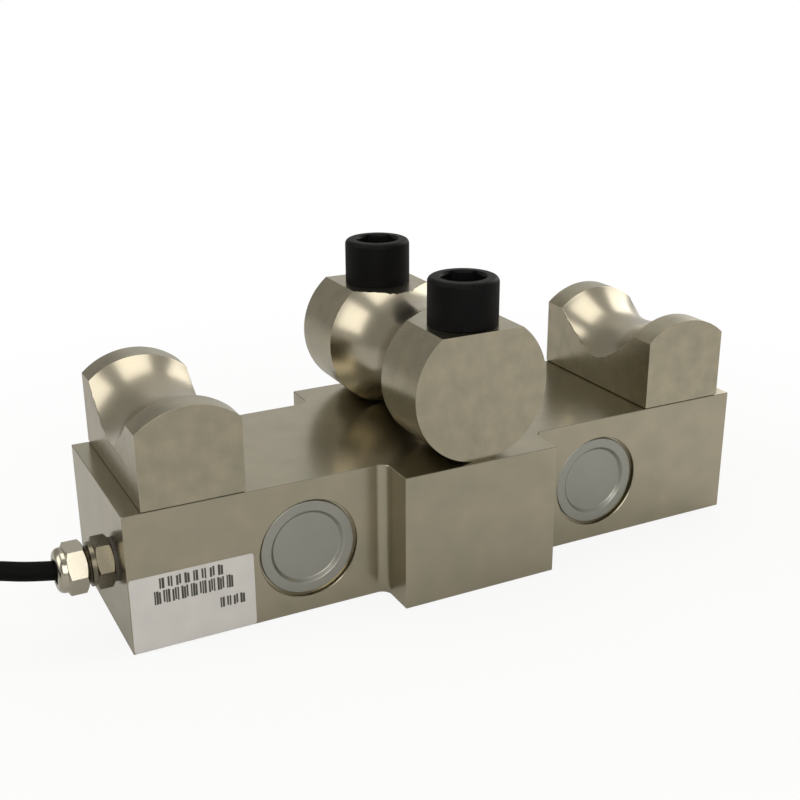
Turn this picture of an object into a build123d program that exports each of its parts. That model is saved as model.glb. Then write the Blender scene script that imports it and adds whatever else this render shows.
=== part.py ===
from build123d import *
import os
from math import cos, pi, radians, sin, sqrt, tan

# Wire rope tension sensor: a double-ended bar with two grooved end saddles and a grooved
# round clamp between them. A rope lies over the saddles and under the clamp, bends the bar,
# and strain gauges in four blind pockets read the bend.
# Units are millimetres. X runs along the bar and the rope, Y across it, Z up. The origin is
# the middle of the bar's bottom face. The cable leaves at the -X end.

# Measuring bar and the thick block in its middle
bar_length = 238.0
bar_width = 66.0
bar_height = 48.0
block_length = 59.2
block_overhang = 2.0
junction_radius = 3.5
edge_break = 0.2
slip_gap = 0.1
select_tolerance = 0.01

# End saddles
saddle_length = 34.0
saddle_inset = 6.0
saddle_side_height = 25.5
saddle_arch_radius = 25.1
saddle_land = 10.0

# Rope grooves, turned about an axis that lies across the bar
groove_root_radius = 17.6

# Centre clamp, a turned round with a milled top flat and a narrow seat flat
clamp_radius = 25.0
clamp_length = 91.2
clamp_land = 24.6
clamp_flat_above_axis = 19.8
clamp_seat_depth = 0.2
clamp_hole = 17.5
clamp_screw_margin = 13.6

# Socket head cap screws: rim radius and tip chamfer as shares of the thread size
screw_rim_share = 0.09
screw_tip_share = 0.08

# M16 clamp screws
clamp_screw_size = 16.0
clamp_screw_length = 80.0
clamp_head_diameter = 24.0
clamp_socket_across_flats = 14.0
clamp_tapped_depth = 40.0

# M12 saddle screws, fitted from below
saddle_screw_size = 12.0
saddle_screw_length = 50.0
saddle_head_diameter = 18.0
saddle_socket_across_flats = 10.0
saddle_counterbore = 20.0
saddle_counterbore_depth = 13.5
saddle_clearance_hole = 13.5
saddle_thread_reserve = 3.0

# Dowels that key each saddle to the bar
dowel_diameter = 6.0
dowel_length = 20.0
dowel_spacing = 50.0

# Gauge pockets and their dished covers
pocket_offset = 58.0
pocket_height = 23.0
pocket_bore = 30.0
web_thickness = 8.0
cover_seat_bore = 35.0
cover_seat_depth = 2.2
cover_diameter = 33.4
cover_sheet = 1.0
cover_dish_diameter = 24.0
cover_dish_depth = 1.3
cover_bend_run = 1.1

# Strain gauges, solder terminals and leads inside the pockets
gauge_side = 10.0
gauge_thickness = 0.3
terminal_width = 4.0
terminal_height = 10.0
terminal_thickness = 1.2
terminal_offset = 11.0
lead_diameter = 1.8
lead_bore = 5.0
web_lead_hole = 3.4
web_lead_height = 11.0

# Cable gland on the left end face. Its axis lies between the saddle screws' holes and the
# clamp screws, so the share says how far it stands toward the clamp screws.
gland_share = 0.565
gland_height = 26.5
gland_thread = 12.5
gland_thread_depth = 8.0
gland_thread_reserve = 2.0
gland_washer_diameter = 14.4
gland_washer_thickness = 1.0
gland_across_flats = 15.0
gland_corner_slope = 30.0
gland_hex_thickness = 5.5
gland_collar_diameter = 14.4
gland_collar_thickness = 1.4
gland_neck = 1.4
gland_cap_thread_length = 6.0
nut_hex_length = 5.6
nut_dome_length = 3.6
nut_dome_diameter = 14.6
nut_dome_radius = 2.8
nut_mouth = 8.4
seal_diameter = 9.0
seal_length = 8.0
cable_bore = 7.0

# Name plate, a thin foil on the front face
label_width = 41.0
label_height = 26.0
label_thickness = 0.2
label_margin = 0.3
label_corner_radius = 1.0

# Cable
cable_diameter = 6.2
cable_tilt_gap = 0.7
core_bundle = 3.0
coil_inner_radius = 31.5
coil_outer_radius = 50.7
coil_height = 25.6
coil_section_radius = 2.5
coil_allowance = 0.2
floor_gap = 0.05
coil_distance = 157.0
coil_lead_in = 30.0
coil_start_y = 24.0
tail_sweep = 70.0
tail_sink = 0.3
core_diameter = 1.6
core_pitch = 1.9
core_straight = 6.6
core_fan_length = 15.4
core_spread = 2.4
core_stagger = 1.0

# Places that follow from the sizes above
block_width = clamp_length + 2 * block_overhang
clamp_screw_spacing = clamp_length - 2 * clamp_screw_margin
saddle_x = bar_length / 2 - saddle_inset - saddle_length / 2
arch_drop = sqrt(saddle_arch_radius**2 - (saddle_length / 2) ** 2)
arch_z = bar_height + saddle_side_height - arch_drop
clamp_axis_z = bar_height + clamp_radius - clamp_seat_depth
clamp_flat_z = clamp_axis_z + clamp_flat_above_axis
saddle_hole_edge = saddle_clearance_hole / 2
clamp_screw_edge = clamp_screw_spacing / 2 - clamp_screw_size / 2
gland_y = -saddle_hole_edge - gland_share * (clamp_screw_edge - saddle_hole_edge)
left_end = -bar_length / 2
front_face = -bar_width / 2
coil_centre_x = left_end - coil_distance
saddle_positions = {"left": -saddle_x, "right": saddle_x}
pocket_positions = {"left": -pocket_offset, "right": pocket_offset}
face_signs = {"front": -1, "rear": 1}

os.makedirs("parts", exist_ok=True)


def save(solid, name):
    """Label a finished piece and write it to its own STEP file."""
    solid.label = name
    export_step(solid, f"parts/{name}.step")


def hexagon_radius(across_flats):
    """Corner radius of a hexagon from its size across flats."""
    return across_flats / 2 / cos(radians(30))


def groove_tool(centre, outer_radius, half_width, sweep):
    """Ring-shaped cutter for a rope groove turned about the Y direction through centre.

    The profile is one round arc with a small bevel at each land. The sweep starts at the
    -X side and passes over the top.
    """
    profile_plane = Plane(origin=centre, x_dir=(0, 1, 0), z_dir=(0, 0, 1))
    shoulder = outer_radius - edge_break
    with BuildPart() as tool:
        with BuildSketch(profile_plane):
            with BuildLine():
                ThreePointArc(
                    (-half_width, shoulder), (0, groove_root_radius), (half_width, shoulder)
                )
                Polyline(
                    (half_width, shoulder),
                    (half_width + edge_break, outer_radius),
                    (half_width + edge_break, outer_radius + edge_break),
                    (-half_width - edge_break, outer_radius + edge_break),
                    (-half_width - edge_break, outer_radius),
                    (-half_width, shoulder),
                )
            make_face()
        revolve(axis=Axis(centre, (0, 1, 0)), revolution_arc=sweep)
    return tool.part


def cap_screw(seat, direction, size, length, head_diameter, across_flats):
    """Socket head cap screw whose head rests on the seat point and points along direction."""
    head_plane = Plane(origin=seat, x_dir=(1, 0, 0), z_dir=direction)
    with BuildPart() as screw:
        with BuildSketch(head_plane):
            Circle(head_diameter / 2)
        extrude(amount=size)
        top_rim = screw.edges().filter_by(GeomType.CIRCLE).sort_by(Axis(seat, direction))[-1]
        fillet(top_rim, size * screw_rim_share)
        with BuildSketch(head_plane):
            Circle(size / 2)
        extrude(amount=-length)
        tip = screw.edges().filter_by(GeomType.CIRCLE).sort_by(Axis(seat, direction))[0]
        chamfer(tip, size * screw_tip_share)
        with BuildSketch(head_plane.offset(size)):
            RegularPolygon(hexagon_radius(across_flats), 6)
        extrude(amount=-size / 2, mode=Mode.SUBTRACT)
    return screw.part


def pocket_plane(x, side):
    """Plane through a pocket's axis: local x points down and local y points out of the bar."""
    return Plane(
        origin=(x, side * bar_width / 2, pocket_height), x_dir=(0, 0, -1), z_dir=(side, 0, 0)
    )


# Measuring bar: outline with concave radii where the block stands out of the bar
with BuildPart() as sensor_body:
    with BuildSketch() as outline:
        Rectangle(bar_length, bar_width)
        Rectangle(block_length, block_width)
        corners = outline.vertices().filter_by(
            lambda v: abs(abs(v.X) - block_length / 2) < select_tolerance
            and abs(abs(v.Y) - bar_width / 2) < select_tolerance
        )
        fillet(corners, junction_radius)
        square_corners = outline.vertices().filter_by(
            lambda v: abs(abs(v.X) - bar_length / 2) < select_tolerance
            or abs(abs(v.Y) - block_width / 2) < select_tolerance
        )
        chamfer(square_corners, edge_break)
    extrude(amount=bar_height)
    rims = sensor_body.edges().group_by(Axis.Z)
    chamfer(rims[0] + rims[-1], edge_break)

    # Blind gauge pockets with a wider seat for the cover
    for x in pocket_positions.values():
        for side in face_signs.values():
            axis_plane = pocket_plane(x, side)
            pocket_depth = bar_width / 2 - web_thickness / 2
            with BuildSketch(axis_plane):
                with BuildLine():
                    Polyline(
                        (0, edge_break),
                        (cover_seat_bore / 2 + 2 * edge_break, edge_break),
                        (cover_seat_bore / 2, -edge_break),
                        (cover_seat_bore / 2, -cover_seat_depth),
                        (pocket_bore / 2, -cover_seat_depth),
                        (pocket_bore / 2, -pocket_depth),
                        (0, -pocket_depth),
                        close=True,
                    )
                make_face()
            revolve(axis=Axis(axis_plane.origin, (0, side, 0)), mode=Mode.SUBTRACT)

    # Lead holes through the two webs, and the long wire channel from the left end
    with BuildSketch(Plane.XZ.offset(-web_thickness)):
        for x in pocket_positions.values():
            with Locations((x, pocket_height + web_lead_height)):
                Circle(web_lead_hole / 2)
    extrude(amount=2 * web_thickness, mode=Mode.SUBTRACT)
    end_plane = Plane(origin=(left_end, gland_y, gland_height), x_dir=(0, -1, 0), z_dir=(-1, 0, 0))
    with BuildSketch(end_plane):
        Circle(lead_bore / 2)
    extrude(amount=-(bar_length / 2 + pocket_offset), mode=Mode.SUBTRACT)
    with BuildSketch(end_plane):
        Circle(cable_bore / 2)
    extrude(amount=-(bar_length / 2 - pocket_offset), mode=Mode.SUBTRACT)
    with BuildSketch(end_plane):
        Circle(gland_thread / 2 + slip_gap)
    extrude(amount=-(gland_thread_depth + gland_thread_reserve), mode=Mode.SUBTRACT)

    # Tapped holes for the clamp screws
    with BuildSketch(Plane.XY.offset(bar_height)):
        with GridLocations(0, clamp_screw_spacing, 1, 2):
            Circle(clamp_screw_size / 2 + slip_gap)
    extrude(amount=-clamp_tapped_depth, mode=Mode.SUBTRACT)

    # Counterbored holes for the saddle screws, and dowel holes in the top face
    for x in saddle_positions.values():
        with BuildSketch():
            with Locations((x, 0)):
                Circle(saddle_counterbore / 2)
        extrude(amount=saddle_counterbore_depth, mode=Mode.SUBTRACT)
        with BuildSketch():
            with Locations((x, 0)):
                Circle(saddle_clearance_hole / 2)
        extrude(amount=bar_height, mode=Mode.SUBTRACT)
        with BuildSketch(Plane.XY.offset(bar_height)):
            with Locations((x, 0)):
                with GridLocations(0, dowel_spacing, 1, 2):
                    Circle(dowel_diameter / 2)
        extrude(amount=-dowel_length / 2, mode=Mode.SUBTRACT)
save(sensor_body.part, "sensor_body")

# End saddles: an arched block with a groove turned about the arch's own axis
saddle_groove_half = bar_width / 2 - saddle_land
thread_engagement = saddle_screw_length - (bar_height - saddle_counterbore_depth)
for place, x in saddle_positions.items():
    with BuildPart() as saddle:
        with BuildSketch(Plane.XZ.offset(-bar_width / 2)):
            with BuildLine():
                Line(
                    (x - saddle_length / 2, bar_height),
                    (x + saddle_length / 2, bar_height),
                )
                Line(
                    (x + saddle_length / 2, bar_height),
                    (x + saddle_length / 2, bar_height + saddle_side_height),
                )
                ThreePointArc(
                    (x + saddle_length / 2, bar_height + saddle_side_height),
                    (x, arch_z + saddle_arch_radius),
                    (x - saddle_length / 2, bar_height + saddle_side_height),
                )
                Line(
                    (x - saddle_length / 2, bar_height + saddle_side_height),
                    (x - saddle_length / 2, bar_height),
                )
            make_face()
        extrude(amount=bar_width)
        chamfer(saddle.edges(), edge_break)
        add(
            groove_tool((x, 0, arch_z), saddle_arch_radius, saddle_groove_half, 180),
            mode=Mode.SUBTRACT,
        )
        with BuildSketch(Plane.XY.offset(bar_height)):
            with Locations((x, 0)):
                Circle(saddle_screw_size / 2 + slip_gap)
        extrude(amount=thread_engagement + saddle_thread_reserve, mode=Mode.SUBTRACT)
        with BuildSketch(Plane.XY.offset(bar_height)):
            with Locations((x, 0)):
                with GridLocations(0, dowel_spacing, 1, 2):
                    Circle(dowel_diameter / 2)
        extrude(amount=dowel_length / 2 + slip_gap, mode=Mode.SUBTRACT)
    save(saddle.part, f"{place}_saddle")

    screw = cap_screw(
        (x, 0, saddle_counterbore_depth),
        (0, 0, -1),
        saddle_screw_size,
        saddle_screw_length,
        saddle_head_diameter,
        saddle_socket_across_flats,
    )
    save(screw, f"{place}_saddle_screw")

# Dowels, two under each saddle
with BuildPart() as saddle_dowels:
    with BuildSketch(Plane.XY.offset(bar_height - dowel_length / 2)):
        for x in saddle_positions.values():
            with Locations((x, 0)):
                with GridLocations(0, dowel_spacing, 1, 2):
                    Circle(dowel_diameter / 2 - slip_gap / 4)
    extrude(amount=dowel_length)
    chamfer(saddle_dowels.edges().filter_by(GeomType.CIRCLE), edge_break)
save(saddle_dowels.part, "saddle_dowels")

# Centre clamp: a turned round across the bar, flats milled on top and at its seat
with BuildPart() as centre_clamp:
    with BuildSketch(Plane.XZ.offset(-clamp_length / 2)):
        with Locations((0, clamp_axis_z)):
            Circle(clamp_radius)
    extrude(amount=clamp_length)
    chamfer(centre_clamp.edges().filter_by(GeomType.CIRCLE), edge_break)
    add(
        groove_tool(
            (0, 0, clamp_axis_z), clamp_radius, clamp_length / 2 - clamp_land, 360
        ),
        mode=Mode.SUBTRACT,
    )
    split(bisect_by=Plane.XY.offset(clamp_flat_z), keep=Keep.BOTTOM)
    split(bisect_by=Plane.XY.offset(bar_height), keep=Keep.TOP)
    with BuildSketch(Plane.XY.offset(clamp_flat_z)):
        with GridLocations(0, clamp_screw_spacing, 1, 2):
            Circle(clamp_hole / 2)
    extrude(amount=-2 * clamp_radius, mode=Mode.SUBTRACT)
save(centre_clamp.part, "centre_clamp")

for place, side in face_signs.items():
    screw = cap_screw(
        (0, side * clamp_screw_spacing / 2, clamp_flat_z),
        (0, 0, 1),
        clamp_screw_size,
        clamp_screw_length,
        clamp_head_diameter,
        clamp_socket_across_flats,
    )
    save(screw, f"{place}_clamp_screw")

# Covers, gauges and solder terminals, one set in each pocket
web_face = web_thickness / 2
for end, x in pocket_positions.items():
    for face, side in face_signs.items():
        axis_plane = pocket_plane(x, side)
        rim_top = -cover_seat_depth + cover_sheet
        dish_radius = cover_dish_diameter / 2
        bend_out = dish_radius + cover_bend_run
        with BuildPart() as cover:
            with BuildSketch(axis_plane):
                with BuildLine():
                    Polyline(
                        (0, rim_top - cover_dish_depth),
                        (dish_radius, rim_top - cover_dish_depth),
                        (bend_out, rim_top),
                        (cover_diameter / 2, rim_top),
                        (cover_diameter / 2, rim_top - cover_sheet),
                        (bend_out + cover_sheet / 2, rim_top - cover_sheet),
                        (dish_radius + cover_sheet / 2, rim_top - cover_dish_depth - cover_sheet),
                        (0, rim_top - cover_dish_depth - cover_sheet),
                        close=True,
                    )
                make_face()
            revolve(axis=Axis(axis_plane.origin, (0, side, 0)))
            outer_rim = cover.edges().filter_by(GeomType.CIRCLE).filter_by(
                lambda e: e.radius > cover_diameter / 2 - select_tolerance
            )
            fillet(outer_rim.sort_by(Axis(axis_plane.origin, (0, side, 0)))[-1], edge_break)
        save(cover.part, f"{face}_{end}_cover")

        web_plane = Plane(
            origin=(x, side * web_face, pocket_height), x_dir=(1, 0, 0), z_dir=(0, side, 0)
        )
        with BuildPart() as gauge:
            with BuildSketch(web_plane):
                Rectangle(gauge_side, gauge_side, rotation=45)
            extrude(amount=gauge_thickness)
        save(gauge.part, f"{face}_{end}_gauge")

with BuildPart() as solder_terminals:
    for x in pocket_positions.values():
        for side in face_signs.values():
            toward_block = -1 if x > 0 else 1
            terminal_plane = Plane(
                origin=(x + toward_block * terminal_offset, side * web_face, pocket_height),
                x_dir=(1, 0, 0),
                z_dir=(0, side, 0),
            )
            with BuildSketch(terminal_plane):
                Rectangle(terminal_width, terminal_height)
            extrude(amount=terminal_thickness)
save(solder_terminals.part, "solder_terminals")

# Bridge board on the left front web, where the cable's cores are soldered
board_x = -pocket_offset - terminal_offset
with BuildPart() as bridge_board:
    board_plane = Plane(
        origin=(board_x, -web_face, pocket_height),
        x_dir=(1, 0, 0),
        z_dir=(0, -1, 0),
    )
    with BuildSketch(board_plane):
        Rectangle(terminal_width, terminal_height)
    extrude(amount=terminal_thickness)
save(bridge_board.part, "bridge_board")


def swept_round(points, radii, diameter):
    """Round bar swept along straight runs that are joined by tangent arcs."""
    with BuildPart() as bar:
        with BuildLine():
            route = FilletPolyline(*points, radius=radii)
        with BuildSketch(route ^ 0):
            Circle(diameter / 2)
        sweep(path=route)
    return bar.part, route.length


# Leads between the front pockets through the channel, and around each web to the rear gauge
terminal_face = -web_face - terminal_thickness
inner_x = pocket_offset - terminal_offset
front_leads, _ = swept_round(
    [
        (-inner_x, terminal_face, gland_height),
        (-inner_x, gland_y, gland_height),
        (inner_x, gland_y, gland_height),
        (inner_x, terminal_face, gland_height),
    ],
    2 * lead_diameter,
    lead_diameter,
)
lead_stand_off = web_face + lead_diameter / 2 + slip_gap
lead_z = pocket_height + web_lead_height
gauge_corner = pocket_height + gauge_side / sqrt(2)
web_leads = []
for x in pocket_positions.values():
    lead, _ = swept_round(
        [
            (x, -lead_stand_off, gauge_corner),
            (x, -lead_stand_off, lead_z),
            (x, lead_stand_off, lead_z),
            (x, lead_stand_off, gauge_corner),
        ],
        lead_diameter,
        lead_diameter,
    )
    web_leads.append(lead)
save(Compound(children=[front_leads, *web_leads]), "bridge_leads")

def gland_hexagon(start, length):
    """Hexagon length on the gland's axis, with its corners turned down at both ends."""
    flat = gland_across_flats / 2
    corner = hexagon_radius(gland_across_flats) + slip_gap
    slope = (corner - flat) * tan(radians(gland_corner_slope))
    profile_plane = Plane(
        origin=end_plane.offset(start).origin, x_dir=(0, 0, 1), z_dir=(0, -1, 0)
    )
    with BuildPart() as hexagon:
        with BuildSketch(end_plane.offset(start)):
            RegularPolygon(hexagon_radius(gland_across_flats), 6)
        extrude(amount=length)
        with BuildSketch(profile_plane):
            with BuildLine():
                Polyline(
                    (0, 0),
                    (flat, 0),
                    (corner, slope),
                    (corner, length - slope),
                    (flat, length),
                    (0, length),
                    close=True,
                )
            make_face()
        revolve(axis=Axis(profile_plane.origin, (-1, 0, 0)), mode=Mode.INTERSECT)
    return hexagon.part


# Cable gland: washer, hexagonal body, rubber seal and domed nut
washer_top = gland_washer_thickness
hex_top = washer_top + gland_hex_thickness
nut_base = hex_top + gland_collar_thickness + gland_neck
nut_top = nut_base + nut_hex_length + nut_dome_length
with BuildPart() as gland_washer:
    with BuildSketch(end_plane):
        Circle(gland_washer_diameter / 2)
        Circle(gland_thread / 2 + slip_gap, mode=Mode.SUBTRACT)
    extrude(amount=gland_washer_thickness)
save(gland_washer.part, "gland_washer")

with BuildPart() as gland_body:
    with BuildSketch(end_plane.offset(-gland_thread_depth)):
        Circle(gland_thread / 2)
    extrude(amount=gland_thread_depth + nut_base + gland_cap_thread_length)
    add(gland_hexagon(washer_top, gland_hex_thickness))
    with BuildSketch(end_plane.offset(hex_top)):
        Circle(gland_collar_diameter / 2)
    extrude(amount=gland_collar_thickness)
    with BuildSketch(end_plane.offset(-gland_thread_depth)):
        Circle(cable_bore / 2)
    extrude(amount=bar_width, mode=Mode.SUBTRACT)
    with BuildSketch(end_plane.offset(nut_base + gland_cap_thread_length)):
        Circle(seal_diameter / 2 + slip_gap)
    extrude(amount=-seal_length, mode=Mode.SUBTRACT)
save(gland_body.part, "gland_body")

seal_base = nut_base + gland_cap_thread_length - seal_length
with BuildPart() as gland_seal:
    with BuildSketch(end_plane.offset(seal_base)):
        Circle(seal_diameter / 2)
        Circle(cable_diameter / 2 + slip_gap / 2, mode=Mode.SUBTRACT)
    extrude(amount=seal_length)
save(gland_seal.part, "gland_seal")

with BuildPart() as gland_nut:
    add(gland_hexagon(nut_base, nut_hex_length))
    with BuildSketch(end_plane.offset(nut_base + nut_hex_length)):
        Circle(nut_dome_diameter / 2)
    extrude(amount=nut_dome_length)
    dome_edge = gland_nut.edges().filter_by(GeomType.CIRCLE).sort_by(Axis.X)[0]
    fillet(dome_edge, nut_dome_radius)
    with BuildSketch(end_plane.offset(nut_base)):
        Circle(gland_thread / 2 + slip_gap)
    extrude(amount=gland_cap_thread_length + slip_gap, mode=Mode.SUBTRACT)
    with BuildSketch(end_plane.offset(nut_base)):
        Circle(nut_mouth / 2)
    extrude(amount=nut_top, mode=Mode.SUBTRACT)
save(gland_nut.part, "gland_nut")

# Foil name plate on the front face, at the left bottom corner
with BuildPart() as name_label:
    label_plane = Plane(
        origin=(
            left_end + label_margin + label_width / 2,
            front_face,
            label_margin + label_height / 2,
        ),
        x_dir=(1, 0, 0),
        z_dir=(0, -1, 0),
    )
    with BuildSketch(label_plane):
        RectangleRounded(label_width, label_height, label_corner_radius)
    extrude(amount=label_thickness)
save(name_label.part, "name_label")

# Cable inside the gland and the bar, up to where its sheath is stripped
strip_end = -pocket_offset - pocket_bore / 2 - slip_gap
seal_top = left_end - seal_base - seal_length
with BuildPart() as cable_inner_end:
    with BuildSketch(Plane(origin=(seal_top, gland_y, gland_height), z_dir=(1, 0, 0))):
        Circle(cable_diameter / 2)
    extrude(amount=strip_end - seal_top)
save(cable_inner_end.part, "cable_inner_end")

inner_cores, _ = swept_round(
    [
        (strip_end, gland_y, gland_height),
        (board_x, gland_y, gland_height),
        (board_x, terminal_face, gland_height),
    ],
    core_bundle,
    core_bundle,
)
save(inner_cores, "cable_inner_cores")

# Free cable: hand-chosen points, as shares of the way from the gland's mouth to the coil along
# X, Y and Z. The cable rises a little first and then bends down to the standing surface.
floor_line = cable_diameter / 2 + floor_gap + coil_allowance
coil_turn_radius = coil_outer_radius - cable_diameter / 2 - coil_allowance
tube_start = Vector(seal_top - cable_tilt_gap, gland_y, gland_height)
tube_end = Vector(coil_centre_x + coil_lead_in, coil_start_y, floor_line)
cable_way = tube_end - tube_start
way_shares = [
    (0.090, 0.035, -0.043),
    (0.186, 0.141, -0.104),
    (0.302, 0.328, -0.013),
    (0.431, 0.551, 0.289),
    (0.561, 0.748, 0.644),
    (0.699, 0.911, 0.903),
    (0.851, 1.0, 1.0),
]
cable_route = [tube_start]
for along, across, down in way_shares:
    step = Vector(cable_way.X * along, cable_way.Y * across, cable_way.Z * down)
    cable_route.append(tube_start + step)
cable_route.append(tube_end)


def route_radii(points):
    """Arc radius at each corner: 0.45 of the shorter run over the tangent of half the turn."""
    radii = []
    for before, corner, after in zip(points, points[1:], points[2:]):
        run_in = corner - before
        run_out = after - corner
        half_turn = radians(run_in.get_angle(run_out)) / 2
        radii.append(0.45 * min(run_in.length, run_out.length) / tan(half_turn))
    return radii


cable_radii = route_radii(cable_route)
cable_tube, tube_length = swept_round(cable_route, cable_radii, cable_diameter)
save(cable_tube, "cable_tube")
print("cable radii", [round(radius, 1) for radius in cable_radii])
tube_section = pi * (cable_diameter / 2) ** 2
volume_ratio = cable_tube.volume / (tube_section * tube_length)
print("cable tube", round(tube_length, 1), "mm, volume ratio", round(volume_ratio, 4))

# Coil of the spare cable, lying flat, with a straight lead-in and a tail on top
coil_centre_y = coil_start_y - coil_turn_radius
coil_centre = Vector(coil_centre_x, coil_centre_y, 0)
coil_middle = (coil_inner_radius + coil_outer_radius) / 2
tail_z = coil_height - floor_gap + cable_diameter / 2 - tail_sink
with BuildPart() as cable_coil:
    with BuildSketch(Plane(origin=coil_centre, x_dir=(1, 0, 0), z_dir=(0, -1, 0))):
        with Locations((coil_middle, coil_height / 2)):
            RectangleRounded(
                coil_outer_radius - coil_inner_radius,
                coil_height - 2 * floor_gap,
                coil_section_radius,
            )
    revolve(axis=Axis(coil_centre, (0, 0, 1)))
    with BuildSketch(Plane(origin=tube_end, z_dir=(-1, 0, 0))):
        Circle(cable_diameter / 2)
    extrude(amount=coil_lead_in)
    with BuildSketch(Plane(origin=coil_centre + Vector(0, coil_middle, tail_z), z_dir=(1, 0, 0))):
        Circle(cable_diameter / 2)
    revolve(axis=Axis(coil_centre, (0, 0, 1)), revolution_arc=tail_sweep)
save(cable_coil.part, "cable_coil")

# Four tinned cores at the free end, fanned out where the sheath stops
tail_angle = radians(90 + tail_sweep)
tail_tangent = Vector(-sin(tail_angle), cos(tail_angle), 0)
tail_outward = Vector(cos(tail_angle), sin(tail_angle), 0)
tail_end = coil_centre + tail_outward * coil_middle + Vector(0, 0, tail_z)
free_cores = []
for across in (-1, 1):
    for rise in (-1, 1):
        start = tail_end + (tail_outward * across + Vector(0, 0, rise)) * (core_pitch / 2)
        knee = start + tail_tangent * core_straight
        fan = tail_outward * (across * core_spread + rise * core_stagger)
        tip = knee + tail_tangent * core_fan_length + fan
        core, _ = swept_round([start, knee, tip], 4 * core_diameter, core_diameter)
        free_cores.append(core)
save(Compound(children=free_cores), "cable_free_cores")
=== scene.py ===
"""Wire rope tension sensor, dressed for a studio photograph.

A plated steel measuring bar carries two grooved saddles and a grooved centre clamp. The rope
lies over the saddles and under the clamp. Lengths are metres and angles are degrees unless a
name says otherwise. X runs along the bar, Y across it and Z up.
"""
import logging
from contextlib import contextmanager
from dataclasses import dataclass
from enum import Enum
from math import acos, atan2, cos, hypot, pi, radians, sin, sqrt, tau
from typing import Callable, Iterator, Sequence

import bmesh
import bpy
from mathutils import Matrix, Vector


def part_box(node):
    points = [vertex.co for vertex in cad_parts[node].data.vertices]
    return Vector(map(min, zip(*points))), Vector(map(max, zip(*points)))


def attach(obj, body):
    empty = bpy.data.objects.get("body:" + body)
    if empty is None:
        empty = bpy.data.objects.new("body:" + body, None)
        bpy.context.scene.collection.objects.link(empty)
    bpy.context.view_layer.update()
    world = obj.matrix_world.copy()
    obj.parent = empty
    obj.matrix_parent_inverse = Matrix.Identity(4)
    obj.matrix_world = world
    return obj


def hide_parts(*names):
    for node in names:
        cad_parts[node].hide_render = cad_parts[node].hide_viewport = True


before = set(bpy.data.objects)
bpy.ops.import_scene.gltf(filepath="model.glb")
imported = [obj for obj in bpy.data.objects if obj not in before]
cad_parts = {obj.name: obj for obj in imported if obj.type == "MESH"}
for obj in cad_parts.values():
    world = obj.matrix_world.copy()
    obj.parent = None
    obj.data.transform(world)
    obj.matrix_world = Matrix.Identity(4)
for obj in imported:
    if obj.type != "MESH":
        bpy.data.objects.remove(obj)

log = logging.getLogger("tension_sensor")
Colour = tuple[float, float, float]
Object = bpy.types.Object
BODY = "root"
WHITE: Colour = (1.0, 1.0, 1.0)
MERGE_GAP = 0.000002
SEED_SIZE = 0.001
STREAK_STRETCH = 60.0
NOISE_LOW, NOISE_HIGH = 0.3, 0.7
FACE_WEIGHT = 80
CURVE_STEPS = 6


def opaque(colour: Colour) -> tuple[float, float, float, float]:
    """Give a colour the full alpha that Blender's colour sockets ask for."""
    return (*colour, 1.0)


class Grain(Enum):
    """Direction of the fine marks that a cutter or a belt leaves on metal."""

    ALONG_BAR = "along_bar"
    UPRIGHT = "upright"
    TURNED = "turned"
    NONE = "none"

    def stretch(self, pitch: float) -> tuple[float, float, float]:
        """Scale of the marks along X, Y and Z.

        Args:
            pitch: Distance between two marks.

        Returns:
            Scales for a mapping node.
        """
        fine = 1.0 / pitch
        long = fine / STREAK_STRETCH
        table = {
            Grain.ALONG_BAR: (long, fine, fine),
            Grain.UPRIGHT: (fine, fine, long),
            Grain.TURNED: (long, fine, long),
            Grain.NONE: (fine, fine, fine),
        }
        return table[self]


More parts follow.
